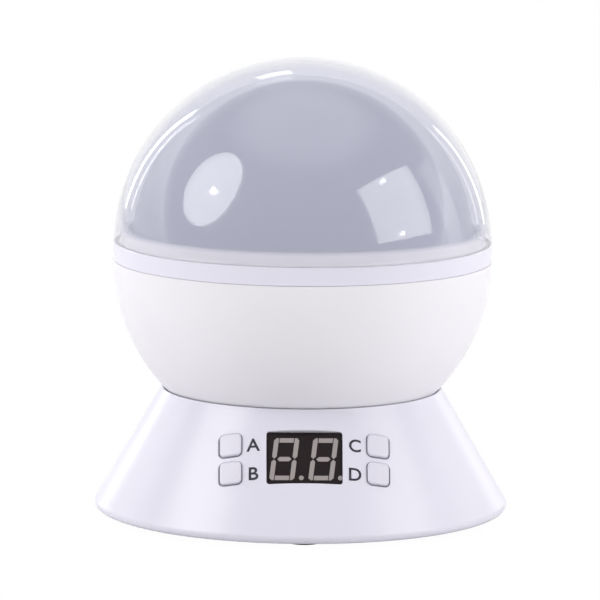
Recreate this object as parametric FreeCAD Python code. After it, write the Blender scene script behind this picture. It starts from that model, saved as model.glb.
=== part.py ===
"""Star night light projector: a glossy flared base with a timer display and
four keys, and a ball that turns on it. The ball is a matt bowl, a belt ring
and a milky dome cover over a dark dome pierced with stars.

Frame: origin at the centre of the footprint on the floor, +Z up, the display
faces -Y. Lengths are in millimetres and angles in degrees.
"""
import FreeCAD, Part
import math
import os

V = FreeCAD.Vector
UP = V(0, 0, 1)

# Base shell
foot_proud = 1.5
base_radius = 65.6
base_height = 38.7
base_edge_radius = 1.8
side_slope = 30.15
base_wall = 2.2
rim_lip = 0.85
rim_gap = 0.3
bottom_lip = 2.4

# Ball
ball_radius = 60.0
ball_straight = 3.6
bowl_wall = 2.2
bowl_floor = 2.5
belt_drop = 0.4
belt_height = 5.9
belt_edge_break = 0.3
cover_wall = 2.0
collar_height = 4.0
collar_wall = 1.8
collar_gap = 0.9
skirt_depth = 4.0
shelf_width = 4.5
shelf_thickness = 1.6
star_dome_wall = 1.2
star_dome_gap = 1.3
star_flange = 1.2
star_hole_radius = 0.9
star_ring_count = 5
star_ring_step = 14.0
star_ring_share = 5
star_drift = 3.0

# Base plate, feet and screws
plate_thickness = 2.5
plate_gap = 0.3
foot_radius = 6.0
foot_depth = 1.5
foot_chamfer = 0.5
foot_inset = 2.7
post_inset = 5.2
post_radius = 3.5
screw_radius = 1.3
screw_head_radius = 2.6
screw_head_height = 1.6
screw_gap = 0.25
screw_slot = 0.6
fastener_count = 4
base_screw_length = 8.0
screw_bite = 6.0
pilot_depth = 8.0

# Battery bay
cell_radius = 5.25
cell_length = 44.5
cell_nub_radius = 1.9
cell_nub_height = 0.8
cell_count = 4
cell_pitch = 11.2
bay_wall = 1.4
bay_end_space = 3.2
bay_side_space = 0.4
bay_to_deck = 3.2
contact_sheet = 0.4
contact_width = 7.0
contact_rise = 4.2
contact_drop = 2.4
door_thickness = 2.0
door_gap = 0.3
door_tab_width = 5.0
door_tab_reach = 1.4
door_tab_root = 1.2
door_tab_sink = 0.5
door_tab_thickness = 1.0
door_catch_width = 12.0
door_catch_reach = 0.6
door_catch_height = 1.6
door_groove_count = 5
door_groove_pitch = 1.6
door_groove_depth = 0.4

# Control panel, measured in the plane of the slope at the front:
# across is +X, rise runs up the slope and depth is along its normal
window_width = 23.6
window_height = 17.4
window_rise = -4.4
window_corner = 1.0
opening_edge = 0.25
module_gap = 0.2
module_depth = 8.0
module_recess = 1.9
digit_height = 13.8
digit_width = 7.8
digit_pitch = 12.1
digit_lean = 7.0
digit_across = -0.2
digit_drop = 0.2
segment_width = 1.45
segment_gap = 0.25
segment_proud = 0.15
dot_radius = 0.75
dot_offset = 2.1
button_width = 6.7
button_height = 7.3
button_corner = 1.5
button_across = 22.9
button_rise_top = 0.75
button_rise_bottom = -8.6
button_proud = 1.0
button_gap = 0.25
button_rim = 0.7
button_travel = 0.6
button_edge = 0.5
board_depth = 15.0
board_thickness = 1.6
board_clearance = 0.8
board_width = 62.0
board_height = 22.0
board_rise = -4.4
board_post_radius = 2.1
board_post_across = 15.8
board_post_spread = 8.0
board_screw_length = 5.0
switch_size = 6.0
switch_height = 3.0
plunger_radius = 1.75
plunger_gap = 0.08
pin_radius = 0.3
pins_per_row = 5
pin_pitch = 2.54
pin_row_spread = 15.2

# Power inlet
port_width = 11.0
port_height = 7.0
port_corner = 1.8
port_rise = 9.5
socket_width = 7.5
socket_height = 2.7
socket_length = 5.6
socket_wall = 0.35
socket_setback = 3.4
inlet_board_width = 14.0
inlet_board_length = 13.0
inlet_board_thickness = 1.2

# Drive
gear_module = 1.0
ball_gear_teeth = 60
pinion_teeth = 15
gear_width = 4.0
pinion_overlap = 0.3
gear_backlash = 0.16
gear_addendum = 0.75
gear_dedendum = 1.15
pressure_angle = 20.0
flank_points = 4
gear_bore_gap = 0.3
washer_radius = 13.0
washer_thickness = 1.0
spindle_radius = 6.0
spindle_bore = 4.0
spindle_flange_radius = 12.0
spindle_flange = 1.5
spindle_above_bush = 4.0
bush_wall = 2.0
bush_gap = 0.05
hub_wall = 3.0
hub_height = 11.0
clip_thickness = 1.0
clip_radius = 8.5
clip_gap = 0.3
clip_groove = 0.8
deck_thickness = 2.0
deck_radius = 41.0
deck_post_across = 29.5
deck_post_along = 24.0
deck_post_radius = 3.0
motor_radius = 10.0
motor_height = 12.0
motor_boss_radius = 3.5
motor_boss_height = 0.6
motor_ear_reach = 14.0
motor_ear_radius = 3.2
motor_ear_thickness = 1.5
shaft_radius = 1.5
shaft_gap = 0.05
shaft_depth = 5.0

# Lights and the reflector plate inside the ball
reflector_drop = 6.0
reflector_thickness = 1.8
reflector_hole = 17.0
reflector_gap = 0.5
reflector_lip = 5.0
boss_inset = 5.3
boss_radius = 3.5
boss_depth = 26.0
boss_count = 3
lamp_post_radius = 6.0
lamp_post_bore = 2.6
lamp_post_plug = 8.0
lamp_post_flange = 1.6
lamp_board_radius = 13.0
lamp_board_thickness = 1.4
star_lamp_radius = 2.5
star_lamp_height = 3.6
chip_size = 3.5
chip_height = 1.6
chip_circle = 8.6
chip_count = 6
lead_radius = 0.6
lead_count = 4
lead_circle = 1.5

# Worked-out places
slope = math.radians(side_slope)
shell_bottom = foot_proud
rim_top = shell_bottom + base_height
edge_centre_radius = base_radius - base_edge_radius
edge_centre_height = shell_bottom + base_edge_radius
rim_radius = (edge_centre_radius + base_edge_radius * math.cos(slope)
              - (rim_top - edge_centre_height - base_edge_radius * math.sin(slope))
              * math.tan(slope))
ball_at_rim = rim_radius - rim_lip
bowl_centre = rim_top + math.sqrt(ball_radius ** 2 - ball_at_rim ** 2)
dome_centre = bowl_centre + ball_straight
belt_bottom = bowl_centre - belt_drop
belt_top = belt_bottom + belt_height
cover_top = dome_centre + ball_radius
plate_top = shell_bottom + plate_thickness
plate_radius = edge_centre_radius - bottom_lip - plate_gap
foot_circle = plate_radius - foot_radius - foot_inset
post_circle = plate_radius - post_radius - post_inset
bush_bore = spindle_radius + bush_gap
bush_radius = bush_bore + bush_wall
hub_radius = bush_radius + hub_wall
motor_across = gear_module * (ball_gear_teeth + pinion_teeth) / 2.0
panel_depth = rim_radius * math.cos(slope) + base_height * math.sin(slope)
board_face = panel_depth - board_depth
button_back = board_face + switch_height + button_travel * 2.0
module_face = panel_depth - module_recess
reflector_top = belt_bottom - reflector_drop
boss_top = reflector_top - reflector_thickness
boss_circle = ball_radius - bowl_wall - boss_radius - boss_inset
collar_radius = ball_radius - cover_wall - collar_gap
collar_inside = collar_radius - collar_wall
star_dome_radius = collar_inside - star_dome_gap
shelf_top = belt_top - shelf_thickness
lamp_board_bottom = shelf_top - star_lamp_height
lamp_post_top = lamp_board_bottom
bay_half_width = (cell_count * cell_pitch) / 2.0 + bay_side_space
bay_half_length = cell_length / 2.0 + bay_end_space
cell_height = shell_bottom + door_thickness + bay_side_space + cell_radius
bay_top = cell_height + cell_radius + bay_side_space
door_round = door_thickness / 2.0
deck_bottom = bay_top + bay_wall + bay_to_deck
deck_top = deck_bottom + deck_thickness
washer_bottom = deck_top + spindle_flange
gear_bottom = washer_bottom + washer_thickness
bowl_bottom = gear_bottom + gear_width
bowl_floor_top = bowl_bottom + bowl_floor
bush_top = bowl_bottom + hub_height
spindle_top = bush_top + spindle_above_bush
big = 4.0 * base_radius


# Helpers
def cylinder(radius, bottom, top, across=0.0, along=0.0):
    return Part.makeCylinder(radius, top - bottom, V(across, along, bottom), UP)


def ring(inner, outer, bottom, top, across=0.0, along=0.0):
    hole = cylinder(inner, bottom - 1.0, top + 1.0, across, along)
    return cylinder(outer, bottom, top, across, along).cut(hole)


def block(x0, x1, y0, y1, z0, z1):
    return Part.makeBox(x1 - x0, y1 - y0, z1 - z0, V(x0, y0, z0))


def slab(bottom, top):
    return block(-big, big, -big, big, bottom, top)


def ball(radius, height):
    return Part.makeSphere(radius, V(0, 0, height))


def polar(radius, degrees):
    angle = math.radians(degrees)
    return radius * math.cos(angle), radius * math.sin(angle)


def join(shapes):
    whole = shapes[0]
    for shape in shapes[1:]:
        whole = whole.fuse(shape)
    return whole.removeSplitter()


def group(shapes):
    return Part.makeCompound(shapes)


def prism(across, rise, width, height, corner, low, high):
    """A rounded rectangle in the X-Y plane, drawn out along Z."""
    shape = block(across - width / 2, across + width / 2,
                  rise - height / 2, rise + height / 2, low, high)
    if corner > 0:
        upright = [e for e in shape.Edges
                   if abs(e.Vertexes[0].X - e.Vertexes[1].X) < 1e-6
                   and abs(e.Vertexes[0].Y - e.Vertexes[1].Y) < 1e-6]
        shape = shape.makeFillet(corner, upright)
    return shape


def on_panel(shape):
    """Moves a shape drawn as (across, rise, depth) to the front slope."""
    placed = shape.copy()
    placed.rotate(V(0, 0, 0), V(1, 0, 0), 90.0 - side_slope)
    placed.translate(V(0, 0, shell_bottom))
    return placed


def revolve(edges):
    face = Part.Face(Part.Wire(edges))
    return face.revolve(V(0, 0, 0), UP, 360)


def line(start, end):
    return Part.LineSegment(V(start[0], 0, start[1]), V(end[0], 0, end[1])).toShape()


def arc(start, middle, end):
    points = [V(p[0], 0, p[1]) for p in (start, middle, end)]
    return Part.Arc(*points).toShape()


def revolve_points(points):
    closed = points + [points[0]]
    return revolve([line(a, b) for a, b in zip(closed, closed[1:])])


def is_on_skin(edge, solid):
    """Whether an edge runs along a solid's side, seen at three of its points."""
    low, high = edge.ParameterRange
    for part_way in (0.1, 0.5, 0.9):
        point = edge.valueAt(low + (high - low) * part_way)
        if solid.Shells[0].distToShape(Part.Vertex(point))[0] > 0.001:
            return False
    return True


def screw(length):
    """A cross-head screw whose head sits below the origin, shank up."""
    head = Part.makeCylinder(screw_head_radius, screw_head_height,
                             V(0, 0, -screw_head_height), UP)
    shank = Part.makeCylinder(screw_radius, length, V(0, 0, 0), UP)
    half = screw_head_radius * 0.65
    low = -screw_head_height
    high = -screw_head_height / 2
    slot_a = block(-half, half, -screw_slot / 2, screw_slot / 2, low, high)
    slot_b = block(-screw_slot / 2, screw_slot / 2, -half, half, low, high)
    return head.fuse(shank).cut(slot_a.fuse(slot_b))


def screw_at(length, across, along, height, flipped=False):
    shape = screw(length)
    if flipped:
        shape.rotate(V(0, 0, 0), V(1, 0, 0), 180.0)
    shape.translate(V(across, along, height))
    return shape


def corner_places(radius):
    return [polar(radius, 45.0 + 360.0 * k / fastener_count)
            for k in range(fastener_count)]


# Base
def skin_radius(height, offset=0.0):
    """How far the slope, moved out by offset, is from the axis at a height."""
    return rim_radius + (rim_top - height) * math.tan(slope) + offset / math.cos(slope)


def base_solid(offset):
    """The flared base as a full solid, its skin moved out by offset."""
    edge = base_edge_radius + offset
    bottom = edge_centre_height - edge
    rim = (skin_radius(rim_top, offset), rim_top)
    start = (edge_centre_radius, bottom)
    if edge > 0:
        middle = (edge_centre_radius + edge * math.cos(math.radians(-20)),
                  edge_centre_height + edge * math.sin(math.radians(-20)))
        side = (edge_centre_radius + edge * math.cos(slope),
                edge_centre_height + edge * math.sin(slope))
        skin = [arc(start, middle, side), line(side, rim)]
    else:
        start = (skin_radius(bottom, offset), bottom)
        skin = [line(start, rim)]
    return revolve(skin + [line(rim, (0, rim_top)), line((0, rim_top), (0, bottom)),
                           line((0, bottom), start)])


def panel_posts():
    posts = []
    for across in (-board_post_across, board_post_across):
        for step in (-board_post_spread, board_post_spread):
            posts.append(Part.makeCylinder(board_post_radius, board_depth + 2.0,
                                           V(across, board_rise + step, board_face),
                                           V(0, 0, 1)))
    return posts


def button_places():
    return {"a": (-button_across, button_rise_top),
            "b": (-button_across, button_rise_bottom),
            "c": (button_across, button_rise_top),
            "d": (button_across, button_rise_bottom)}


def panel_openings():
    """The window and the four key holes, cut square to the slope."""
    top = panel_depth + base_wall * 4
    window = prism(0.0, window_rise, window_width, window_height, window_corner,
                   button_back, top)
    openings = [on_panel(window)]
    for across, rise in button_places().values():
        hole = prism(across, rise, button_width + 2 * button_gap,
                     button_height + 2 * button_gap, button_corner + button_gap,
                     button_back, top)
        openings.append(on_panel(hole))
    return openings


def inlet_port():
    port = prism(0.0, 0.0, port_width, port_height, port_corner, 0.0, base_radius)
    port.rotate(V(0, 0, 0), V(1, 0, 0), -90.0)
    port.translate(V(0, base_radius / 2, shell_bottom + port_rise))
    return port


def base_shell():
    outer = base_solid(0.0)
    well = ball(ball_radius + rim_gap, bowl_centre)
    mouth = cylinder(edge_centre_radius - bottom_lip, shell_bottom - 1.0,
                     shell_bottom + 2 * base_wall)
    shell = outer.cut(base_solid(-base_wall)).cut(well).cut(mouth)
    for opening in panel_openings():
        shell = shell.cut(opening)
    softened = [e for e in shell.Edges
                if e.CenterOfMass.y < -base_radius / 3 and e.Length < window_width
                and is_on_skin(e, outer)]
    shell = shell.makeFillet(opening_edge, softened)
    posts = [cylinder(post_radius, plate_top, rim_top, x, y)
             for x, y in corner_places(post_circle)]
    posts += [on_panel(p) for p in panel_posts()]
    half_skin = base_solid(-base_wall / 2)
    for post in posts:
        shell = shell.fuse(post.common(half_skin).cut(well))
    for x, y in corner_places(post_circle):
        shell = shell.cut(cylinder(screw_radius, plate_top - 1.0,
                                   plate_top + base_screw_length, x, y))
    for post in panel_posts():
        centre = post.CenterOfMass
        pilot = Part.makeCylinder(screw_radius, board_screw_length + 1.0,
                                  V(centre.x, centre.y, board_face - 1.0), UP)
        shell = shell.cut(on_panel(pilot))
    return shell.cut(inlet_port()).removeSplitter()


def bay_box(grow, low, high):
    return block(-bay_half_width - grow, bay_half_width + grow,
                 -bay_half_length - grow, bay_half_length + grow, low, high)


def base_plate():
    plate = cylinder(plate_radius, shell_bottom, plate_top)
    plate = plate.fuse(bay_box(bay_wall, plate_top, bay_top + bay_wall))
    plate = plate.cut(bay_box(0.0, shell_bottom - 1.0, bay_top))
    for x, y in corner_places(post_circle):
        plate = plate.cut(cylinder(screw_radius + screw_gap, shell_bottom - 1.0,
                                   plate_top + 1.0, x, y))
        plate = plate.cut(cylinder(screw_head_radius + screw_gap, shell_bottom - 1.0,
                                   shell_bottom + screw_head_height, x, y))
    for k in range(fastener_count):
        x, y = polar(foot_circle, 360.0 * k / fastener_count)
        plate = plate.cut(cylinder(foot_radius + 0.1, shell_bottom - 1.0,
                                   shell_bottom + foot_depth, x, y))
    for x, y in deck_places():
        post = cylinder(deck_post_radius, plate_top - 0.5, deck_bottom, x, y)
        pilot = cylinder(screw_radius, deck_bottom - pilot_depth, deck_bottom + 1.0, x, y)
        plate = plate.fuse(post).cut(pilot)
    for x in (-inlet_board_width / 2 + 2.0, inlet_board_width / 2 - 2.0):
        y = inlet_back() - 3.0
        post = cylinder(1.8, plate_top - 0.5, inlet_board_bottom(), x, y)
        plate = plate.fuse(post)
    for side in (-1, 1):
        middle = side * door_tab_place()
        half = door_tab_width / 2 + door_gap
        slot = block(middle - half, middle + half,
                     -bay_half_length - bay_wall - 1.0, -bay_half_length + 1.0,
                     plate_top, plate_top + 3.0 * door_tab_thickness)
        plate = plate.cut(slot)
    half = door_catch_width / 2 + door_gap
    notch = block(-half, half, bay_half_length - 1.0,
                  bay_half_length + door_catch_reach + 2 * door_gap,
                  shell_bottom - 1.0, plate_top + door_catch_height + door_gap)
    return plate.cut(notch).removeSplitter()


def base_screws():
    return group([screw_at(base_screw_length, x, y, shell_bottom + screw_head_height)
                  for x, y in corner_places(post_circle)])


def rubber_feet():
    feet = []
    for k in range(fastener_count):
        x, y = polar(foot_circle, 360.0 * k / fastener_count)
        foot = cylinder(foot_radius, 0.0, shell_bottom + foot_depth, x, y)
        rim = [e for e in foot.Edges if e.BoundBox.ZMax < 1e-6]
        feet.append(foot.makeChamfer(foot_chamfer, rim))
    return group(feet)


# Battery bay
def cell_places():
    start = -(cell_count - 1) / 2.0
    return [(start + k) * cell_pitch for k in range(cell_count)]


def battery_cells():
    cells = []
    for k, x in enumerate(cell_places()):
        way = 1.0 if k % 2 == 0 else -1.0
        body = Part.makeCylinder(cell_radius, cell_length - cell_nub_height,
                                 V(x, -way * cell_length / 2, cell_height), V(0, way, 0))
        nub = Part.makeCylinder(cell_nub_radius, cell_length,
                                V(x, -way * cell_length / 2, cell_height), V(0, way, 0))
        cells.append(body.fuse(nub))
    return group(cells)


def battery_contacts():
    """Bent leaf springs that touch both ends of each cell."""
    leaves = []
    reach = bay_half_length - cell_length / 2
    for x in cell_places():
        for way in (-1.0, 1.0):
            wall = way * bay_half_length
            tip = way * (bay_half_length - reach)
            skin = wall - way * contact_sheet
            foot = -contact_drop
            points = [(wall, contact_rise), (wall, foot), (tip, 0.0),
                      (tip, contact_sheet * 1.5), (skin, foot + contact_sheet * 3),
                      (skin, contact_rise)]
            corners = [V(x - contact_width / 2, y, cell_height + z) for y, z in points]
            face = Part.Face(Part.makePolygon(corners + [corners[0]]))
            leaves.append(face.extrude(V(contact_width, 0, 0)))
    return group(leaves)


def door_tab_place():
    return cell_pitch


def battery_door():
    """The door turns on its rounded front edge, held by two hooked tabs."""
    low = -bay_half_length + door_gap
    high = bay_half_length - door_gap
    half = bay_half_width - door_gap
    door_top = shell_bottom + door_thickness
    panel = block(-half, half, low + door_round, high, shell_bottom, door_top)
    edge = Part.makeCylinder(door_round, 2 * half,
                             V(-half, low + door_round, shell_bottom + door_round),
                             V(1, 0, 0))
    hook_low = plate_top + door_gap
    hook_top = hook_low + door_tab_thickness
    pieces = [panel, edge]
    for side in (-1, 1):
        x0 = side * door_tab_place() - door_tab_width / 2
        x1 = x0 + door_tab_width
        root = low + door_round
        pieces.append(block(x0, x1, root - door_tab_root / 2, root + door_tab_root / 2,
                            door_top - door_tab_sink, hook_top))
        pieces.append(block(x0, x1, low - door_tab_reach, root + door_tab_root / 2,
                            hook_low, hook_top))
    catch_half = door_catch_width / 2
    catch_top = plate_top + door_catch_height
    pieces.append(block(-catch_half, catch_half, high - 2 * door_catch_reach, high,
                        door_top - door_tab_sink, catch_top))
    pieces.append(block(-catch_half, catch_half, high - door_catch_reach,
                        high + door_catch_reach, plate_top + door_gap, catch_top))
    door = join(pieces)
    for k in range(door_groove_count):
        y = high - 3.0 * door_groove_pitch - door_groove_pitch * k
        groove = block(-catch_half, catch_half, y, y + door_groove_pitch / 2,
                       shell_bottom - 1.0, shell_bottom + door_groove_depth)
        door = door.cut(groove)
    return door


# Control panel
def display_module():
    module = prism(0.0, window_rise, window_width - 2 * module_gap,
                   window_height - 2 * module_gap, 0.4,
                   module_face - module_depth, module_face)
    return on_panel(module)


def leaning_bar(corners, lean):
    """One bar of a digit from its upright corners, leaning with the digit."""
    points = [V(x + y * lean, y, 0) for x, y in corners]
    face = Part.Face(Part.makePolygon(points + [points[0]]))
    return face.extrude(V(0, 0, segment_proud))


def digit_bars(lean):
    """Seven bars: uprights with cut corners, level bars and a pointed middle."""
    wide = digit_width / 2
    inner = wide - segment_width
    high = digit_height / 2
    half = segment_width / 2
    gap = segment_gap / 2
    bars = []
    for side in (-1, 1):
        for level in (-1, 1):
            bars.append([(side * inner, level * (half + gap)),
                         (side * (inner + half), level * gap),
                         (side * wide, level * (half + gap)),
                         (side * wide, level * (high - half)),
                         (side * (wide - half), level * high),
                         (side * inner, level * high)])
    level_end = inner - segment_gap
    for level in (-1, 1):
        low = level * (high - segment_width)
        top = level * high
        bars.append([(-level_end, low), (level_end, low),
                     (level_end, top), (-level_end, top)])
    bars.append([(-level_end, 0), (-level_end + half, half), (level_end - half, half),
                 (level_end, 0), (level_end - half, -half), (-level_end + half, -half)])
    return [leaning_bar(corners, lean) for corners in bars]


def digit_segments():
    lean = math.tan(math.radians(digit_lean))
    shapes = []
    for side in (-1, 1):
        centre = V(side * digit_pitch / 2 + digit_across, window_rise - digit_drop,
                   module_face)
        for bar in digit_bars(lean):
            bar.translate(centre)
            shapes.append(bar)
        low = -digit_height / 2 + dot_radius
        spot = V(digit_width / 2 + dot_offset + low * lean, low, 0)
        shapes.append(Part.makeCylinder(dot_radius, segment_proud, centre + spot, UP))
    return on_panel(group(shapes))


def display_pins():
    pins = []
    for k in range(pins_per_row):
        for side in (-1, 1):
            place = V((k - (pins_per_row - 1) / 2.0) * pin_pitch,
                      window_rise + side * pin_row_spread / 2,
                      board_face - board_thickness - 0.8)
            length = module_face - module_depth - place.z
            pins.append(Part.makeCylinder(pin_radius, length, place, UP))
    return on_panel(group(pins))


def control_board():
    board = prism(0.0, board_rise, board_width, board_height, 1.0,
                  board_face - board_thickness, board_face)
    for post in panel_posts():
        centre = post.CenterOfMass
        board = board.cut(Part.makeCylinder(screw_radius + screw_gap, 4 * board_thickness,
                                            V(centre.x, centre.y,
                                              board_face - 2 * board_thickness), UP))
    for k in range(pins_per_row):
        for side in (-1, 1):
            place = V((k - (pins_per_row - 1) / 2.0) * pin_pitch,
                      window_rise + side * pin_row_spread / 2,
                      board_face - 2 * board_thickness)
            board = board.cut(Part.makeCylinder(pin_radius, 4 * board_thickness, place, UP))
    return on_panel(board)


def board_screws():
    screws = []
    for post in panel_posts():
        centre = post.CenterOfMass
        screws.append(screw_at(board_screw_length, centre.x, centre.y,
                               board_face - board_thickness))
    return on_panel(group(screws))


def switch_bodies():
    bodies = []
    for across, rise in button_places().values():
        body = prism(across, rise, switch_size, switch_size, 0.4,
                     board_face, board_face + switch_height)
        bore = Part.makeCylinder(plunger_radius + plunger_gap, switch_height + 2.0,
                                 V(across, rise, board_face + 0.05), UP)
        bodies.append(body.cut(bore))
    return on_panel(group(bodies))


def plunger(across, rise):
    low = board_face + button_travel + 0.1
    shape = Part.makeCylinder(plunger_radius, button_back - low, V(across, rise, low), UP)
    return on_panel(shape)


def button_cap(across, rise):
    """A key that follows the slope of the base and stands proud of it."""
    cap = on_panel(prism(across, rise, button_width, button_height, button_corner,
                         button_back, panel_depth + 8.0))
    face = base_solid(button_proud)
    cap = cap.common(face)
    front = [e for e in cap.Edges if is_on_skin(e, face)]
    cap = cap.makeFillet(button_edge, front)
    rim = on_panel(prism(across, rise, button_width + 2 * button_rim,
                         button_height + 2 * button_rim, button_corner,
                         button_back, panel_depth))
    rim = rim.common(base_solid(-base_wall - button_gap))
    return cap.fuse(rim).removeSplitter()


# Power inlet
def inlet_front():
    """How far back the inlet's mouth lies, set back from the slope behind."""
    return skin_radius(shell_bottom + port_rise) - socket_setback


def inlet_back():
    return inlet_front() - inlet_board_length


def inlet_board_bottom():
    return shell_bottom + port_rise - socket_height / 2 - inlet_board_thickness


def usb_board():
    return block(-inlet_board_width / 2, inlet_board_width / 2,
                 inlet_back() - 1.0, inlet_front() - 1.0,
                 inlet_board_bottom(), inlet_board_bottom() + inlet_board_thickness)


def usb_socket():
    low = shell_bottom + port_rise - socket_height / 2
    box = block(-socket_width / 2, socket_width / 2, inlet_front() - socket_length,
                inlet_front(), low, low + socket_height)
    hollow = block(-socket_width / 2 + socket_wall, socket_width / 2 - socket_wall,
                   inlet_front() - socket_length + socket_wall, inlet_front() + 1.0,
                   low + socket_wall, low + socket_height - socket_wall)
    tongue = block(-socket_width / 4, socket_width / 4,
                   inlet_front() - socket_length + socket_wall * 0.5,
                   inlet_front() - 1.0,
                   low + socket_height / 2 - 0.3, low + socket_height / 2 + 0.3)
    return box.cut(hollow).fuse(tongue).removeSplitter()


# Drive
def involute(angle):
    return math.tan(angle) - angle


def gear_outline(teeth):
    """Corner points of a spur gear with a gap between teeth on the +X side."""
    pitch = gear_module * teeth / 2.0
    base = pitch * math.cos(math.radians(pressure_angle))
    tip = pitch + gear_module * gear_addendum
    root = pitch - gear_module * gear_dedendum
    half = (math.pi / (2 * teeth) - gear_backlash / (2 * pitch)
            + involute(math.radians(pressure_angle)))
    flank = []
    low = max(base, root)
    for k in range(flank_points):
        radius = low + (tip - low) * k / (flank_points - 1)
        flank.append((radius, half - involute(math.acos(min(1.0, base / radius)))))
    if root < base:
        flank.insert(0, (root, half))
    points = []
    for tooth in range(teeth):
        middle = 2 * math.pi * (tooth + 0.5) / teeth
        for radius, angle in flank:
            points.append(V(radius * math.cos(middle - angle),
                            radius * math.sin(middle - angle), 0))
        for radius, angle in reversed(flank):
            points.append(V(radius * math.cos(middle + angle),
                            radius * math.sin(middle + angle), 0))
    return points


def spur_gear(teeth, bottom, top):
    points = gear_outline(teeth)
    face = Part.Face(Part.makePolygon(points + [points[0]]))
    gear = face.extrude(V(0, 0, top - bottom))
    gear.translate(V(0, 0, bottom))
    return gear


def hub_screw_places():
    radius = (hub_radius + screw_head_radius + 1.0)
    return [polar(radius, 30.0 + 360.0 * k / boss_count) for k in range(boss_count)]


def ball_gear():
    gear = spur_gear(ball_gear_teeth, gear_bottom, bowl_bottom)
    gear = gear.cut(cylinder(spindle_radius + gear_bore_gap, gear_bottom - 1.0,
                             bowl_bottom + 1.0))
    for x, y in hub_screw_places():
        gear = gear.cut(cylinder(screw_radius + screw_gap, gear_bottom - 1.0,
                                 bowl_bottom + 1.0, x, y))
        gear = gear.cut(cylinder(screw_head_radius + screw_gap, gear_bottom - 1.0,
                                 gear_bottom + screw_head_height, x, y))
    return gear


def gear_screws():
    return group([screw_at(gear_width + bowl_floor - screw_head_height - 0.3, x, y,
                           gear_bottom + screw_head_height)
                  for x, y in hub_screw_places()])


def thrust_washer():
    return ring(spindle_radius + gear_bore_gap, washer_radius - screw_radius,
                washer_bottom, gear_bottom)


def drive_pinion():
    gear = spur_gear(pinion_teeth, gear_bottom - pinion_overlap,
                     bowl_bottom + pinion_overlap)
    gear = gear.cut(cylinder(shaft_radius, 0.0, rim_top))
    gear.translate(V(motor_across, 0, 0))
    return gear


def output_shaft():
    return cylinder(shaft_radius, deck_bottom - shaft_depth,
                    bowl_bottom + pinion_overlap, motor_across)


def motor_ear_places():
    return [(motor_across, -motor_ear_reach), (motor_across, motor_ear_reach)]


def motor():
    low = deck_bottom - motor_height
    can = cylinder(motor_radius, low, deck_bottom, motor_across)
    boss = cylinder(motor_boss_radius, deck_bottom, deck_top + motor_boss_height,
                    motor_across)
    bar = block(motor_across - motor_ear_radius, motor_across + motor_ear_radius,
                -motor_ear_reach, motor_ear_reach,
                deck_bottom - motor_ear_thickness, deck_bottom)
    ears = [cylinder(motor_ear_radius, deck_bottom - motor_ear_thickness,
                     deck_bottom, x, y) for x, y in motor_ear_places()]
    shape = join([can, boss, bar] + ears)
    for x, y in motor_ear_places():
        shape = shape.cut(cylinder(screw_radius + screw_gap, low, deck_top, x, y))
    bore = cylinder(shaft_radius + shaft_gap, deck_bottom - shaft_depth - 0.5,
                    deck_top + 5.0, motor_across)
    return shape.cut(bore)


def motor_screws():
    return group([screw_at(deck_thickness + motor_ear_thickness + 1.0, x, y, deck_top,
                           True) for x, y in motor_ear_places()])


def deck_places():
    return [(x, y) for x in (-deck_post_across, deck_post_across)
            for y in (-deck_post_along, deck_post_along)]


def deck_front():
    """How far forward the deck reaches, short of the leaning board's screws."""
    depth = board_face - board_thickness - screw_head_height - board_clearance
    rise = (deck_top - shell_bottom - depth * math.sin(slope)) / math.cos(slope)
    return depth * math.cos(slope) - rise * math.sin(slope)


def deck_plate():
    deck = cylinder(deck_radius, deck_bottom, deck_top)
    lug = block(0.0, motor_across + motor_ear_radius + 2.0, -motor_ear_reach - 4.0,
                motor_ear_reach + 4.0, deck_bottom, deck_top)
    deck = deck.fuse(lug)
    deck = deck.cut(block(-big, big, -big, -deck_front(), 0, rim_top))
    deck = deck.cut(cylinder(spindle_radius, deck_bottom - 1.0, deck_top + 1.0))
    deck = deck.cut(cylinder(motor_boss_radius, deck_bottom - 1.0, deck_top + 1.0,
                             motor_across))
    holes = deck_places() + motor_ear_places()
    for x, y in holes:
        deck = deck.cut(cylinder(screw_radius + screw_gap, deck_bottom - 1.0,
                                 deck_top + 1.0, x, y))
    return deck.removeSplitter()


def deck_screws():
    return group([screw_at(deck_thickness + screw_bite, x, y, deck_top, True)
                  for x, y in deck_places()])


def spindle():
    tube = cylinder(spindle_radius, deck_bottom, spindle_top)
    flange = cylinder(spindle_flange_radius, deck_top, washer_bottom)
    shape = tube.fuse(flange)
    shape = shape.cut(cylinder(spindle_bore, deck_bottom - 1.0, spindle_top + 1.0))
    low = bush_top + clip_gap
    groove = ring(spindle_radius - clip_groove, spindle_radius + 1.0,
                  low, low + clip_thickness)
    return shape.cut(groove).removeSplitter()


def spindle_clip():
    low = bush_top + clip_gap
    clip = ring(spindle_radius - clip_groove, clip_radius, low, low + clip_thickness)
    mouth = block(0.0, clip_radius + 1.0, -spindle_radius * 0.6, spindle_radius * 0.6,
                  low - 1.0, low + clip_thickness + 1.0)
    return clip.cut(mouth)


# Ball
def boss_places():
    return [polar(boss_circle, 90.0 + 360.0 * k / boss_count) for k in range(boss_count)]


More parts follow.
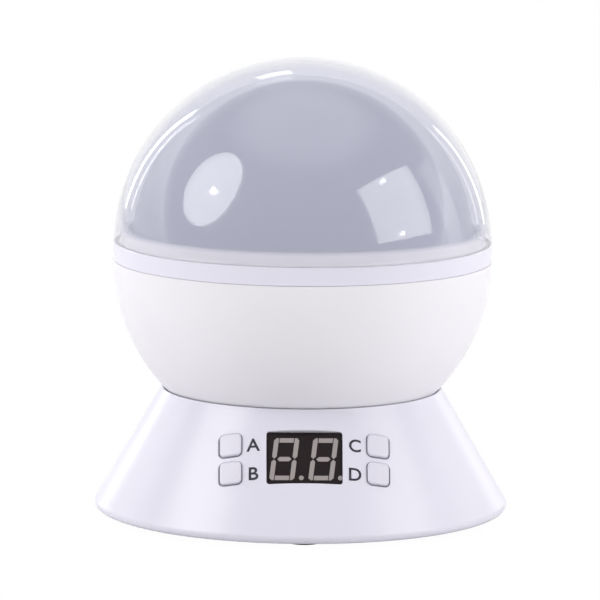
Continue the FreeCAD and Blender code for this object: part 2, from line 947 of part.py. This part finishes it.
def bowl():
    outer = ball(ball_radius, bowl_centre).common(slab(bowl_bottom, belt_bottom))
    inner = ball(ball_radius - bowl_wall, bowl_centre)
    inner = inner.common(slab(bowl_floor_top, cover_top))
    shape = outer.cut(inner)
    shape = shape.fuse(cylinder(hub_radius, bowl_bottom, bush_top))
    for x, y in boss_places():
        boss = cylinder(boss_radius, boss_top - boss_depth, boss_top, x, y)
        shape = shape.fuse(boss.common(ball(ball_radius - bowl_wall / 2, bowl_centre)))
        shape = shape.cut(cylinder(screw_radius, boss_top - pilot_depth, boss_top + 1.0, x, y))
    shape = shape.cut(cylinder(bush_radius, bowl_bottom - 1.0, bush_top + 1.0))
    for x, y in hub_screw_places():
        shape = shape.cut(cylinder(screw_radius, bowl_bottom - 1.0,
                                   bowl_floor_top + 1.0, x, y))
    return shape.removeSplitter()


def hub_bush():
    return ring(bush_bore, bush_radius, bowl_bottom, bush_top)


def reflector_plate():
    inside = ball(ball_radius - bowl_wall - reflector_gap, bowl_centre)
    plate = slab(boss_top, reflector_top).common(inside)
    lip = ring(reflector_hole, reflector_hole + reflector_thickness, boss_top,
               reflector_top + reflector_lip)
    plate = plate.fuse(lip)
    plate = plate.cut(cylinder(reflector_hole, boss_top - 1.0,
                               reflector_top + 2 * reflector_lip))
    for x, y in boss_places():
        plate = plate.cut(cylinder(screw_radius + screw_gap, boss_top - 1.0,
                                   reflector_top + 1.0, x, y))
    return plate.removeSplitter()


def reflector_screws():
    return group([screw_at(reflector_thickness + screw_bite, x, y, reflector_top, True)
                  for x, y in boss_places()])


def belt_ring():
    inner_bowl = ball_radius - bowl_wall - 0.15
    brk = belt_edge_break
    skirt_in = inner_bowl - collar_wall
    points = [(ball_radius - brk, belt_bottom), (ball_radius, belt_bottom + brk),
              (ball_radius, belt_top - brk), (ball_radius - brk, belt_top),
              (collar_radius, belt_top), (collar_radius, belt_top + collar_height),
              (collar_inside, belt_top + collar_height), (collar_inside, shelf_top),
              (collar_inside - shelf_width, shelf_top),
              (collar_inside - shelf_width, shelf_top - shelf_thickness),
              (skirt_in, shelf_top - shelf_thickness),
              (skirt_in, belt_bottom - skirt_depth),
              (inner_bowl - 0.4, belt_bottom - skirt_depth),
              (inner_bowl, belt_bottom)]
    return revolve_points(points)


def star_places():
    """Polar angle from the top and azimuth of each star on the dome."""
    places = []
    for ring_number in range(1, star_ring_count + 1):
        polar_angle = star_ring_step * ring_number
        count = star_ring_share * ring_number
        for k in range(count):
            drift = star_drift * math.sin(7.0 * k + 3.0 * ring_number)
            places.append((polar_angle + drift, 360.0 * (k + 0.37 * ring_number) / count))
    return places


def star_dome():
    outer = ball(star_dome_radius, shelf_top)
    shell = outer.cut(ball(star_dome_radius - star_dome_wall, shelf_top))
    shell = shell.common(slab(shelf_top, cover_top))
    flange = ring(star_dome_radius - star_dome_wall - 1.6, collar_inside - 0.3,
                  shelf_top, shelf_top + star_flange)
    shape = shell.fuse(flange)
    holes = []
    for polar_angle, azimuth in star_places():
        tilt = math.radians(polar_angle)
        turn = math.radians(azimuth)
        way = V(math.sin(tilt) * math.cos(turn), math.sin(tilt) * math.sin(turn),
                math.cos(tilt))
        start = V(0, 0, shelf_top) + way * (star_dome_radius - 4 * star_dome_wall)
        holes.append(Part.makeCylinder(star_hole_radius, 6 * star_dome_wall, start, way))
    return shape.cut(group(holes)).removeSplitter()


def dome_cover():
    outer = ball(ball_radius, dome_centre).common(slab(belt_top, cover_top + 1.0))
    return outer.cut(ball(ball_radius - cover_wall, dome_centre))


# Lamp post
def lamp_post():
    plug = cylinder(spindle_bore, spindle_top - lamp_post_plug, spindle_top)
    tube = cylinder(lamp_post_radius, spindle_top, lamp_post_top)
    flange = cylinder(lamp_board_radius - 1.0, lamp_post_top - lamp_post_flange,
                      lamp_post_top)
    shape = join([plug, tube, flange])
    return shape.cut(cylinder(lamp_post_bore, 0.0, cover_top))


def lamp_board():
    board = cylinder(lamp_board_radius, lamp_board_bottom,
                     lamp_board_bottom + lamp_board_thickness)
    for x, y in lead_places():
        board = board.cut(cylinder(lead_radius, 0.0, cover_top, x, y))
    return board


def star_lamp():
    low = lamp_board_bottom + lamp_board_thickness
    top = low + star_lamp_height - star_lamp_radius
    lens = ball(star_lamp_radius, top).common(slab(top, cover_top))
    return cylinder(star_lamp_radius, low, top).fuse(lens).removeSplitter()


def colour_chips():
    low = lamp_board_bottom + lamp_board_thickness
    chips = []
    for k in range(chip_count):
        x, y = polar(chip_circle, 360.0 * k / chip_count)
        chips.append(block(x - chip_size / 2, x + chip_size / 2, y - chip_size / 2,
                           y + chip_size / 2, low, low + chip_height))
    return group(chips)


def lead_places():
    return [polar(lead_circle, 45.0 + 360.0 * k / lead_count) for k in range(lead_count)]


def lamp_leads():
    low = deck_bottom - 1.0
    high = lamp_board_bottom + lamp_board_thickness
    return group([cylinder(lead_radius, low, high, x, y) for x, y in lead_places()])


def build():
    pieces = {
        "base_shell": base_shell(),
        "base_plate": base_plate(),
        "base_screws": base_screws(),
        "rubber_feet": rubber_feet(),
        "battery_cells": battery_cells(),
        "battery_contacts": battery_contacts(),
        "battery_door": battery_door(),
        "display_module": display_module(),
        "digit_segments": digit_segments(),
        "display_pins": display_pins(),
        "control_board": control_board(),
        "board_screws": board_screws(),
        "switch_bodies": switch_bodies(),
        "usb_board": usb_board(),
        "usb_socket": usb_socket(),
        "deck_plate": deck_plate(),
        "deck_screws": deck_screws(),
        "spindle": spindle(),
        "spindle_clip": spindle_clip(),
        "motor": motor(),
        "motor_screws": motor_screws(),
        "output_shaft": output_shaft(),
        "drive_pinion": drive_pinion(),
        "ball_gear": ball_gear(),
        "gear_screws": gear_screws(),
        "thrust_washer": thrust_washer(),
        "hub_bush": hub_bush(),
        "bowl": bowl(),
        "reflector_plate": reflector_plate(),
        "reflector_screws": reflector_screws(),
        "belt_ring": belt_ring(),
        "star_dome": star_dome(),
        "dome_cover": dome_cover(),
        "lamp_post": lamp_post(),
        "lamp_board": lamp_board(),
        "star_lamp": star_lamp(),
        "colour_chips": colour_chips(),
        "lamp_leads": lamp_leads(),
    }
    for letter, (across, rise) in button_places().items():
        pieces["button_" + letter] = button_cap(across, rise)
        pieces["plunger_" + letter] = plunger(across, rise)
    return pieces


os.makedirs("parts", exist_ok=True)
for name, shape in build().items():
    shape.exportStep("parts/" + name + ".step")
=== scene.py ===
"""Looks of the star night light projector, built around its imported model.

Lengths are in metres, the display faces -Y and the floor is z = 0.
"""

import math

import bmesh
import bpy
from mathutils import Matrix, Vector

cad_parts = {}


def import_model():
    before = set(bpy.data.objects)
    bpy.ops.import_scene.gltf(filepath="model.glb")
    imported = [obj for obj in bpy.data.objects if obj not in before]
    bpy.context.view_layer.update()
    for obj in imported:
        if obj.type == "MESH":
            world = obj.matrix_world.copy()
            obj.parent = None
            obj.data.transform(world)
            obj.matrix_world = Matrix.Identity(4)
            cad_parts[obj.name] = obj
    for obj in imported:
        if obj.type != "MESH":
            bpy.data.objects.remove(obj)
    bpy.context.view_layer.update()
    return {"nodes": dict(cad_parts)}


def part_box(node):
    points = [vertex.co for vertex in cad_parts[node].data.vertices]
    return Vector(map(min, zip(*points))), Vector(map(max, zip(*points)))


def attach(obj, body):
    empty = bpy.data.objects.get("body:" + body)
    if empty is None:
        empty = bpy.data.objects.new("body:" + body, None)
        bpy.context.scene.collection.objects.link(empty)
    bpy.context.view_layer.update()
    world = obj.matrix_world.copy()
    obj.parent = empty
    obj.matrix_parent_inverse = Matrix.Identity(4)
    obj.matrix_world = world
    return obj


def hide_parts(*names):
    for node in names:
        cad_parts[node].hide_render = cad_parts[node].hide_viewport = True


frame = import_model()

MM = 0.001

# The camera, from the outlines of the ball and the base in the photograph
PHOTO_WIDTH_PX = 600
CAMERA_FOCAL_PX = 5681.0
CAMERA_DISTANCE = 1.7843
CAMERA_HEIGHT = 0.3374
CAMERA_ASIDE = -0.0007
CAMERA_PITCH = 0.1499
CAMERA_ROLL = 0.0085
CAMERA_REACH = 50.0
PANEL_TURN = math.radians(1.25)
SENSOR_MM = 36.0

# The cover's shell
BALL_RADIUS = 60.0 * MM
COVER_WALL = 2.0 * MM
COVER_EDGE = 0.25 * MM
COVER_STEPS = 72
COVER_SIDES = 256
ON_AXIS = 1e-7

# The letters beside the keys, placed in millimetres across and up the panel's slope
SIDE_SLOPE = math.radians(30.15)
RIM_RADIUS = 44.448 * MM
PANEL_DEPTH = 57.873 * MM
SLOPE_ROUNDS = 12
LETTER_HEIGHT = 4.2 * MM
LETTER_LIFT = 0.05 * MM
LETTER_THICKNESS = 3 * LETTER_LIFT
LETTER_BOLD = 0.014
LETTER_CURVE_STEPS = 6
LETTER_LONG_EDGE = 0.6 * MM
LETTER_EDGE_CUTS = 3
LETTER_ACROSS = {"A": -15.9, "B": -15.8, "C": 15.7, "D": 15.7}
LETTER_RISE = {"A": 0.2, "B": -9.3, "C": 0.05, "D": -9.5}

# Colours, and the grain and drift of the plastics and metals
BASE_COLOUR = (0.640, 0.626, 0.708)
KEY_COLOUR = (0.600, 0.583, 0.665)
BOWL_COLOUR = (0.740, 0.723, 0.762)
BELT_COLOUR = (0.670, 0.655, 0.745)
COVER_LOW = (0.590, 0.600, 0.730)
COVER_HIGH = (0.602, 0.612, 0.742)
# Painted light: the cover's lowest few millimetres get a lighter colour that stands in for
# the lit collar showing through from behind. These set that painted colour, the band's
# height and its soft edge.
COVER_PAINTED_BAND_LIGHT = (0.860, 0.845, 0.920)
COVER_PAINTED_BAND_HEIGHT = 4.2 * MM
COVER_PAINTED_BAND_SOFT = 1.6 * MM
COVER_ALPHA = 0.45
COVER_DRIFT_SCALE = 12.0
GRAIN_DETAIL = 3.0
DRIFT_DETAIL = 2.0
DRIFT_SPAN = (0.35, 0.65)
GLOSS_DETAIL = 4.0
GLOSS_SPAN = (0.3, 0.7)
LEAST_ROUGH = 0.02
MOULD_GRAIN_DEPTH = 0.03 * MM
MOULD_DRIFT_SCALE = 35.0
MOULD_GLOSS_SCALE = 60.0
METAL_GRAIN_SCALE = 400.0
METAL_GRAIN = 0.1
METAL_GRAIN_DEPTH = 0.02 * MM
METAL_DRIFT = 0.93
METAL_DRIFT_SCALE = 120.0
METAL_GLOSS_SCALE = 200.0
METAL_ROUGH_LOW = 0.8
METAL_ROUGH_HIGH = 1.3

# The room, the table and the lamps; the wall's heights are shares of its distance
WALL_TOP = 1.23
WALL_FOOT = 0.35
WALL_SOFT = 0.07
WALL_LEVEL = 1.0
WALL_TOP_LEVEL = 2.1
LEAST_DEPTH = 0.001
ROOM_LEVEL = 0.40
CEILING_LEVEL = 1.2
CEILING_LOW = 0.80
CEILING_HIGH = 0.92
TABLE_HALF = 6.0
TABLE_GREY = 0.8
FLOOR_SHADOW = 0.018
LAMP_AIM_HEIGHT = 0.085


# Nodes
def feed(tree, socket, value):
    """Link a socket to another one, or give it a plain number or colour."""
    if isinstance(value, bpy.types.NodeSocket):
        tree.links.new(value, socket)
    elif isinstance(value, tuple):
        socket.default_value = (*value, 1)
    else:
        socket.default_value = value


def maths(tree, operation, first, second):
    """The result of a math node on two sockets or plain numbers."""
    node = tree.nodes.new("ShaderNodeMath")
    node.operation = operation
    feed(tree, node.inputs[0], first)
    feed(tree, node.inputs[1], second)
    return node.outputs[0]


def spanned(tree, value, source, result):
    """A value moved from one range to another and held at its ends."""
    node = tree.nodes.new("ShaderNodeMapRange")
    feed(tree, node.inputs["Value"], value)
    feed(tree, node.inputs["From Min"], source[0])
    feed(tree, node.inputs["From Max"], source[1])
    feed(tree, node.inputs["To Min"], result[0])
    feed(tree, node.inputs["To Max"], result[1])
    return node.outputs["Result"]


def mixed(tree, share, first, second):
    """Two shaders mixed, where share is the second one's."""
    node = tree.nodes.new("ShaderNodeMixShader")
    for socket, value in zip(node.inputs, (share, first, second)):
        tree.links.new(value, socket)
    return node.outputs[0]


def seen_directly(tree):
    """1 on a camera ray or a ray through glass, and 0 on any other."""
    path = tree.nodes.new("ShaderNodeLightPath")
    return maths(tree, "MAXIMUM", path.outputs["Is Camera Ray"],
                 path.outputs["Is Transmission Ray"])


def speckle(tree, place, scale, detail):
    """Noise in the object's own space."""
    node = tree.nodes.new("ShaderNodeTexNoise")
    node.inputs["Scale"].default_value = scale
    node.inputs["Detail"].default_value = detail
    tree.links.new(place.outputs["Object"], node.inputs["Vector"])
    return node.outputs["Fac"]


# Materials
def new_material(name):
    material = bpy.data.materials.new(name)
    material.use_nodes = True
    shader = material.node_tree.nodes["Principled BSDF"]
    return material, material.node_tree, shader


def fine_bump(tree, place, shader, scale, strength, distance):
    """A fine grain, as a bump."""
    bump = tree.nodes.new("ShaderNodeBump")
    bump.inputs["Strength"].default_value = strength
    bump.inputs["Distance"].default_value = distance
    tree.links.new(speckle(tree, place, scale, GRAIN_DETAIL), bump.inputs["Height"])
    tree.links.new(bump.outputs["Normal"], shader.inputs["Normal"])


def mottled(tree, place, low, high, scale):
    """A colour that drifts a little over the surface."""
    ramp = tree.nodes.new("ShaderNodeValToRGB")
    for element, position, colour in zip(ramp.color_ramp.elements, DRIFT_SPAN, (low, high)):
        element.position = position
        element.color = (*colour, 1)
    tree.links.new(speckle(tree, place, scale, DRIFT_DETAIL), ramp.inputs["Fac"])
    return ramp.outputs["Color"]


def rough_variation(tree, place, shader, low, high, scale):
    """A gloss that drifts a little over the surface."""
    drift = speckle(tree, place, scale, GLOSS_DETAIL)
    feed(tree, shader.inputs["Roughness"], spanned(tree, drift, GLOSS_SPAN, (low, high)))


def moulded(name, colour, rough, grain_scale=900.0, grain=0.15, drift=0.985,
            rough_span=0.04, index=1.5, shine=0.5):
    """Moulded plastic with a fine grain and a slight drift of colour and gloss."""
    material, tree, shader = new_material(name)
    shader.inputs["IOR"].default_value = index
    shader.inputs["Specular IOR Level"].default_value = shine
    place = tree.nodes.new("ShaderNodeTexCoord")
    fine_bump(tree, place, shader, grain_scale, grain, MOULD_GRAIN_DEPTH)
    low = [c * drift for c in colour]
    feed(tree, shader.inputs["Base Color"],
         mottled(tree, place, low, colour, MOULD_DRIFT_SCALE))
    rough_variation(tree, place, shader, max(LEAST_ROUGH, rough - rough_span),
                    rough + rough_span, MOULD_GLOSS_SCALE)
    return material


def metal(name, colour, rough):
    """Bare metal with a fine grain and a drift of colour and gloss."""
    material, tree, shader = new_material(name)
    shader.inputs["Metallic"].default_value = 1.0
    place = tree.nodes.new("ShaderNodeTexCoord")
    fine_bump(tree, place, shader, METAL_GRAIN_SCALE, METAL_GRAIN, METAL_GRAIN_DEPTH)
    low = [c * METAL_DRIFT for c in colour]
    feed(tree, shader.inputs["Base Color"],
         mottled(tree, place, low, colour, METAL_DRIFT_SCALE))
    rough_variation(tree, place, shader, rough * METAL_ROUGH_LOW,
                    rough * METAL_ROUGH_HIGH, METAL_GLOSS_SCALE)
    return material


def by_height(tree, place, level, soft, below, above):
    """A colour that changes from below to above at a height."""
    split = tree.nodes.new("ShaderNodeSeparateXYZ")
    tree.links.new(place.outputs["Object"], split.inputs["Vector"])
    mix = tree.nodes.new("ShaderNodeMix")
    mix.data_type = "RGBA"
    edge = (level - soft / 2, level + soft / 2)
    feed(tree, mix.inputs["Factor"], spanned(tree, split.outputs["Z"], edge, (0.0, 1.0)))
    colours = [socket for socket in mix.inputs if socket.type == "RGBA"]
    for socket, colour in zip(colours, (below, above)):
        feed(tree, socket, colour)
    return [socket for socket in mix.outputs if socket.type == "RGBA"][0]


def milky_cover():
    """Translucent milky plastic: a plain share of what lies behind shows through, and a
    painted lighter band along its foot stands in for the lit collar behind it.
    """
    material, tree, shader = new_material("milky_cover")
    place = tree.nodes.new("ShaderNodeTexCoord")
    body = mottled(tree, place, COVER_LOW, COVER_HIGH, COVER_DRIFT_SCALE)
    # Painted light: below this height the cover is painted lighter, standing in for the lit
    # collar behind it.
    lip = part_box("dome_cover")[0].z + COVER_PAINTED_BAND_HEIGHT
    feed(tree, shader.inputs["Base Color"],
         by_height(tree, place, lip, COVER_PAINTED_BAND_SOFT, COVER_PAINTED_BAND_LIGHT, body))
    shader.inputs["Roughness"].default_value = 0.05
    shader.inputs["IOR"].default_value = 1.6
    shader.inputs["Coat Weight"].default_value = 1.0
    shader.inputs["Coat Roughness"].default_value = 0.03
    shader.inputs["Alpha"].default_value = COVER_ALPHA
    return material


def all_materials():
    return {
        "base_shell": moulded("base_gloss", BASE_COLOUR, 0.27, 700.0, 0.01, drift=1.0,
                              rough_span=0.0, index=1.43),
        "key": moulded("key_gloss", KEY_COLOUR, 0.32, 700.0, 0.02, drift=1.0,
                       rough_span=0.0, index=1.43),
        "bowl": moulded("bowl_matt", BOWL_COLOUR, 0.5, 1500.0, 0.2),
        "belt_ring": moulded("belt_gloss", BELT_COLOUR, 0.2, 400.0, 0.05),
        "dome_cover": milky_cover(),
        "star_dome": moulded("star_film", (0.09, 0.09, 0.14), 0.35, 300.0, 0.1),
        "display_module": moulded("display_black", (0.015, 0.010, 0.011), 0.4,
                                  index=1.4, shine=0.25),
        "digit_segments": moulded("segment_grey", (0.30, 0.27, 0.265), 0.4),
        "rubber_feet": moulded("rubber_grey", (0.07, 0.07, 0.075), 0.75, 900.0, 0.5),
        "battery_cells": moulded("cell_jacket", (0.04, 0.11, 0.07), 0.25),
        "hub_bush": metal("sintered_brass", (0.55, 0.40, 0.18), 0.4),
        "thrust_washer": moulded("washer_grey", (0.10, 0.10, 0.11), 0.5),
        "lamp_leads": moulded("lead_red", (0.45, 0.02, 0.02), 0.35),
        "colour_chips": moulded("chip_white", (0.80, 0.80, 0.72), 0.4),
        "star_lamp": moulded("lens_white", (0.85, 0.86, 0.88), 0.08),
        "steel": metal("bright_steel", (0.62, 0.62, 0.63), 0.28),
        "board": moulded("board_green", (0.03, 0.16, 0.07), 0.3, 300.0),
        "black": moulded("switch_black", (0.02, 0.02, 0.022), 0.4),
        "white": moulded("inner_white", (0.80, 0.80, 0.80), 0.5),
        "acetal": moulded("natural_acetal", (0.78, 0.75, 0.66), 0.4),
        "plate": moulded("plate_plastic", (0.74, 0.73, 0.80), 0.45, 700.0, 0.3),
        "print": moulded("letter_print", (0.011, 0.009, 0.022), 0.5, 1500.0, 0.1),
    }


# The nodes that share a material; every other node has one of its own name
NODE_MATERIALS = {
    "steel": ["base_screws", "battery_contacts", "display_pins", "board_screws",
              "usb_socket", "deck_screws", "spindle", "spindle_clip", "motor",
              "motor_screws", "output_shaft", "gear_screws", "reflector_screws"],
    "board": ["control_board", "usb_board", "lamp_board"],
    "black": ["switch_bodies", "plunger_a", "plunger_b", "plunger_c", "plunger_d"],
    "white": ["reflector_plate", "lamp_post"],
    "acetal": ["drive_pinion", "ball_gear"],
    "plate": ["base_plate", "battery_door", "deck_plate"],
    "key": ["button_a", "button_b", "button_c", "button_d"],
}


def dress(materials):
    owner = {node: name for name, nodes in NODE_MATERIALS.items() for node in nodes}
    for node, piece in frame["nodes"].items():
        piece.data.materials.clear()
        piece.data.materials.append(materials[owner.get(node, node)])


# Pieces
def link_mesh(name, mesh, body, material):
    piece = bpy.data.objects.new(name, mesh)
    bpy.context.scene.collection.objects.link(piece)
    piece.data.materials.append(material)
    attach(piece, body)
    return piece


def finished_mesh(name, mesh):
    """The bmesh as mesh data, with its faces turned outwards."""
    bmesh.ops.recalc_face_normals(mesh, faces=mesh.faces)
    data = bpy.data.meshes.new(name)
    mesh.to_mesh(data)
    mesh.free()
    return data


def spun_mesh(name, profile, sides):
    """A closed surface of revolution about Z from a closed (radius, height) outline."""
    mesh = bmesh.new()
    rings = []
    for radius, height in profile:
        if radius < ON_AXIS:
            rings.append([mesh.verts.new((0, 0, height))])
            continue
        ring = []
        for k in range(sides):
            angle = 2 * math.pi * k / sides
            ring.append(mesh.verts.new((radius * math.cos(angle),
                                        radius * math.sin(angle), height)))
        rings.append(ring)
    for a, b in zip(rings, rings[1:] + rings[:1]):
        if len(a) == 1 and len(b) == 1:
            continue
        for k in range(sides):
            n = (k + 1) % sides
            if len(a) == 1:
                mesh.faces.new((a[0], b[n], b[k]))
            elif len(b) == 1:
                mesh.faces.new((a[k], a[n], b[0]))
            else:
                mesh.faces.new((a[k], a[n], b[n], b[k]))
    data = finished_mesh(name, mesh)
    for face in data.polygons:
        face.use_smooth = True
    return data


def dome_arc(radius, centre, start):
    """The (radius, height) points of a dome, from an angle up to its pole."""
    points = []
    for k in range(COVER_STEPS):
        angle = start + (math.pi / 2 - start) * k / COVER_STEPS
        points.append((radius * math.cos(angle), centre + radius * math.sin(angle)))
    points.append((0.0, centre + radius))
    return points


def dome_cover(material):
    """The cover as a fine shell with a rounded lower edge."""
    low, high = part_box("dome_cover")
    centre = high.z - BALL_RADIUS
    start = math.asin((low.z - centre) / BALL_RADIUS)
    outside = dome_arc(BALL_RADIUS, centre, start)
    inside = dome_arc(BALL_RADIUS - COVER_WALL, centre, start)
    lip = [(inside[0][0] + COVER_EDGE, low.z), (outside[0][0] - COVER_EDGE, low.z)]
    outside[0] = (outside[0][0], low.z + COVER_EDGE)
    inside[0] = (inside[0][0], low.z + COVER_EDGE)
    profile = outside + list(reversed(inside)) + lip
    shell = spun_mesh("dome_cover_shell", profile, COVER_SIDES)
    piece = link_mesh("dome_cover_shell", shell, "cover", material)
    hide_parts("dome_cover")


def slope_normal():
    return Vector((0, -math.cos(SIDE_SLOPE), math.sin(SIDE_SLOPE)))


def panel_point(rise, depth, foot):
    """The (y, z) of a point at a rise along the slope and a depth out of the base."""
    y = rise * math.sin(SIDE_SLOPE) - depth * math.cos(SIDE_SLOPE)
    z = rise * math.cos(SIDE_SLOPE) + depth * math.sin(SIDE_SLOPE) + foot
    return y, z


def on_slope(across, rise, lift):
    """The point of the base's side at (across, rise) on the panel, lifted off it."""
    low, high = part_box("base_shell")
    depth = PANEL_DEPTH
    for _ in range(SLOPE_ROUNDS):
        y, z = panel_point(rise, depth, low.z)
        radius = RIM_RADIUS + (high.z - z) * math.tan(SIDE_SLOPE)
        depth -= (math.hypot(across, y) - radius) * math.cos(SIDE_SLOPE)
    return Vector((across, *panel_point(rise, depth + lift, low.z)))


def flat_letter(character):
    """A letter in the plane, as a bmesh in the font's own size."""
    curve = bpy.data.curves.new("letter_" + character, "FONT")
    curve.body = character
    curve.size = 1.0
    curve.resolution_u = LETTER_CURVE_STEPS
    curve.offset = LETTER_BOLD
    text = bpy.data.objects.new("letter_source", curve)
    bpy.context.scene.collection.objects.link(text)
    bpy.context.view_layer.update()
    flat = bpy.data.meshes.new_from_object(text)
    bpy.data.objects.remove(text)
    mesh = bmesh.new()
    mesh.from_mesh(flat)
    bpy.data.meshes.remove(flat)
    return mesh


def letter(character, material):
    """A key's letter, printed on the slope beside it."""
    mesh = flat_letter(character)
    xs = [v.co.x for v in mesh.verts]
    ys = [v.co.y for v in mesh.verts]
    scale = LETTER_HEIGHT / (max(ys) - min(ys))
    middle = Vector(((max(xs) + min(xs)) / 2, (max(ys) + min(ys)) / 2, 0))
    for v in mesh.verts:
        v.co = (v.co - middle) * scale
        v.co.x += LETTER_ACROSS[character] * MM
        v.co.y += LETTER_RISE[character] * MM
    long_edges = [e for e in mesh.edges if e.calc_length() > LETTER_LONG_EDGE]
    bmesh.ops.subdivide_edges(mesh, edges=long_edges, cuts=LETTER_EDGE_CUTS)
    bmesh.ops.triangulate(mesh, faces=mesh.faces)
    for v in mesh.verts:
        v.co = on_slope(v.co.x, v.co.y, LETTER_LIFT)
    made = bmesh.ops.extrude_face_region(mesh, geom=list(mesh.faces))
    moved = [g for g in made["geom"] if isinstance(g, bmesh.types.BMVert)]
    bmesh.ops.translate(mesh, verts=moved, vec=slope_normal() * -LETTER_THICKNESS)
    name = "letter_" + character.lower()
    link_mesh(name, finished_mesh(name, mesh), "base", material)


# Studio
def camera():
    """The photograph's camera, turned about the object by its panel's small turn."""
    right = Vector((1, 0, 0))
    ahead = Vector((0, math.cos(CAMERA_PITCH), -math.sin(CAMERA_PITCH)))
    above = Vector((0, math.sin(CAMERA_PITCH), math.cos(CAMERA_PITCH)))
    across = right * math.cos(CAMERA_ROLL) + above * math.sin(CAMERA_ROLL)
    upward = above * math.cos(CAMERA_ROLL) - right * math.sin(CAMERA_ROLL)
    pose = Matrix((across, upward, -ahead)).transposed().to_4x4()
    pose.translation = Vector((CAMERA_ASIDE, -CAMERA_DISTANCE, CAMERA_HEIGHT))
    data = bpy.data.cameras.new("camera")
    data.sensor_width = SENSOR_MM
    data.lens = CAMERA_FOCAL_PX / PHOTO_WIDTH_PX * SENSOR_MM
    data.clip_end = CAMERA_REACH
    piece = bpy.data.objects.new("camera", data)
    piece.matrix_world = Matrix.Rotation(-PANEL_TURN, 4, "Z") @ pose
    bpy.context.scene.collection.objects.link(piece)
    bpy.context.scene.camera = piece


def area_light(name, direction, distance, width, height, radiance, shape="RECTANGLE"):
    """A lamp that shines at the ball from a direction, given by its brightness."""
    data = bpy.data.lights.new(name, "AREA")
    data.shape = shape
    data.size = width
    data.size_y = height
    area = width * height * (math.pi / 4 if shape in ("DISK", "ELLIPSE") else 1.0)
    data.energy = radiance * math.pi * area
    piece = bpy.data.objects.new(name, data)
    target = Vector((0, 0, LAMP_AIM_HEIGHT))
    back = Vector(direction).normalized()
    pose = back.to_track_quat("Z", "Y").to_matrix().to_4x4()
    piece.matrix_world = Matrix.Translation(target + back * distance) @ pose
    piece.visible_camera = False
    bpy.context.scene.collection.objects.link(piece)


def world():
    """White to the camera, and to the object a pale room with a bright back wall."""
    room = bpy.data.worlds.new("room")
    bpy.context.scene.world = room
    room.use_nodes = True
    tree = room.node_tree
    place = tree.nodes.new("ShaderNodeTexCoord")
    split = tree.nodes.new("ShaderNodeSeparateXYZ")
    tree.links.new(place.outputs["Generated"], split.inputs["Vector"])
    depth = maths(tree, "MAXIMUM", split.outputs["Y"], LEAST_DEPTH)
    ratio = maths(tree, "DIVIDE", split.outputs["Z"], depth)
    behind = maths(tree, "GREATER_THAN", split.outputs["Y"], 0.0)
    edge = (WALL_TOP * (1 - WALL_SOFT), WALL_TOP * (1 + WALL_SOFT))
    below_top = spanned(tree, ratio, edge, (1.0, 0.0))
    on_wall = maths(tree, "MULTIPLY", below_top, behind)
    overhead = spanned(tree, split.outputs["Z"], (CEILING_LOW, CEILING_HIGH), (0.0, 1.0))
    rising = spanned(tree, ratio, (WALL_FOOT, WALL_TOP), (WALL_LEVEL, WALL_TOP_LEVEL))
    wall = spanned(tree, on_wall, (0.0, 1.0), (ROOM_LEVEL, rising))
    ceiling = spanned(tree, overhead, (0.0, 1.0), (ROOM_LEVEL, CEILING_LEVEL))
    strength = tree.nodes.new("ShaderNodeMix")
    strength.data_type = "FLOAT"
    feed(tree, strength.inputs["Factor"], seen_directly(tree))
    feed(tree, strength.inputs["A"], maths(tree, "MAXIMUM", wall, ceiling))
    feed(tree, strength.inputs["B"], 1.0)
    background = tree.nodes["Background"]
    feed(tree, background.inputs["Color"], (1, 1, 1))
    feed(tree, background.inputs["Strength"], strength.outputs["Result"])


def floor():
    """A white table with a trace of the object's shadow, clear from below."""
    mesh = bpy.data.meshes.new("table")
    mesh.from_pydata([(-TABLE_HALF, -TABLE_HALF, 0), (TABLE_HALF, -TABLE_HALF, 0),
                      (TABLE_HALF, TABLE_HALF, 0), (-TABLE_HALF, TABLE_HALF, 0)],
                     [], [(0, 1, 2, 3)])
    piece = bpy.data.objects.new("table", mesh)
    bpy.context.scene.collection.objects.link(piece)
    material = bpy.data.materials.new("white_table")
    material.use_nodes = True
    tree = material.node_tree
    tree.nodes.remove(tree.nodes["Principled BSDF"])
    diffuse = tree.nodes.new("ShaderNodeBsdfDiffuse")
    feed(tree, diffuse.inputs["Color"], (TABLE_GREY, TABLE_GREY, TABLE_GREY))
    glow = tree.nodes.new("ShaderNodeEmission")
    glow.inputs["Strength"].default_value = 1.0
    clear = tree.nodes.new("ShaderNodeBsdfTransparent")
    below = tree.nodes.new("ShaderNodeNewGeometry").outputs["Backfacing"]
    share = maths(tree, "MULTIPLY", seen_directly(tree), 1.0 - FLOOR_SHADOW)
    top = mixed(tree, share, diffuse.outputs[0], glow.outputs[0])
    feed(tree, tree.nodes["Material Output"].inputs["Surface"],
         mixed(tree, below, top, clear.outputs[0]))
    piece.data.materials.append(material)


def studio():
    world()
    floor()
    area_light("umbrella", (-0.795, -0.274, 0.542), 2.0, 1.25, 1.45, 5.0, "ELLIPSE")
    area_light("softbox", (0.821, -0.388, 0.418), 2.0, 1.46, 1.22, 3.8)
    area_light("umbrella_bulb", (-0.785, -0.320, 0.530), 1.9, 0.13, 0.13, 14.0, "DISK")
    area_light("softbox_bulb_high", (0.690, -0.351, 0.634), 1.9, 0.08, 0.08, 18.0, "DISK")
    area_light("softbox_bulb_low", (0.871, -0.454, 0.188), 1.9, 0.08, 0.08, 18.0, "DISK")
    area_light("skylight", (-0.111, 0.756, 0.638), 2.0, 0.30, 0.20, 2.5)
    area_light("left_strip", (-0.55, 0.80, 0.28), 2.0, 0.12, 1.1, 6.0)
    area_light("right_panel", (0.93, 0.22, 0.28), 2.0, 0.5, 1.2, 1.0)
    area_light("right_strip", (0.55, 0.80, 0.15), 2.0, 0.12, 0.9, 3.0)
    bpy.context.scene.view_settings.view_transform = "Standard"


camera()
studio()
materials = all_materials()
dress(materials)
dome_cover(materials["dome_cover"])
for character in LETTER_ACROSS:
    letter(character, materials["print"])
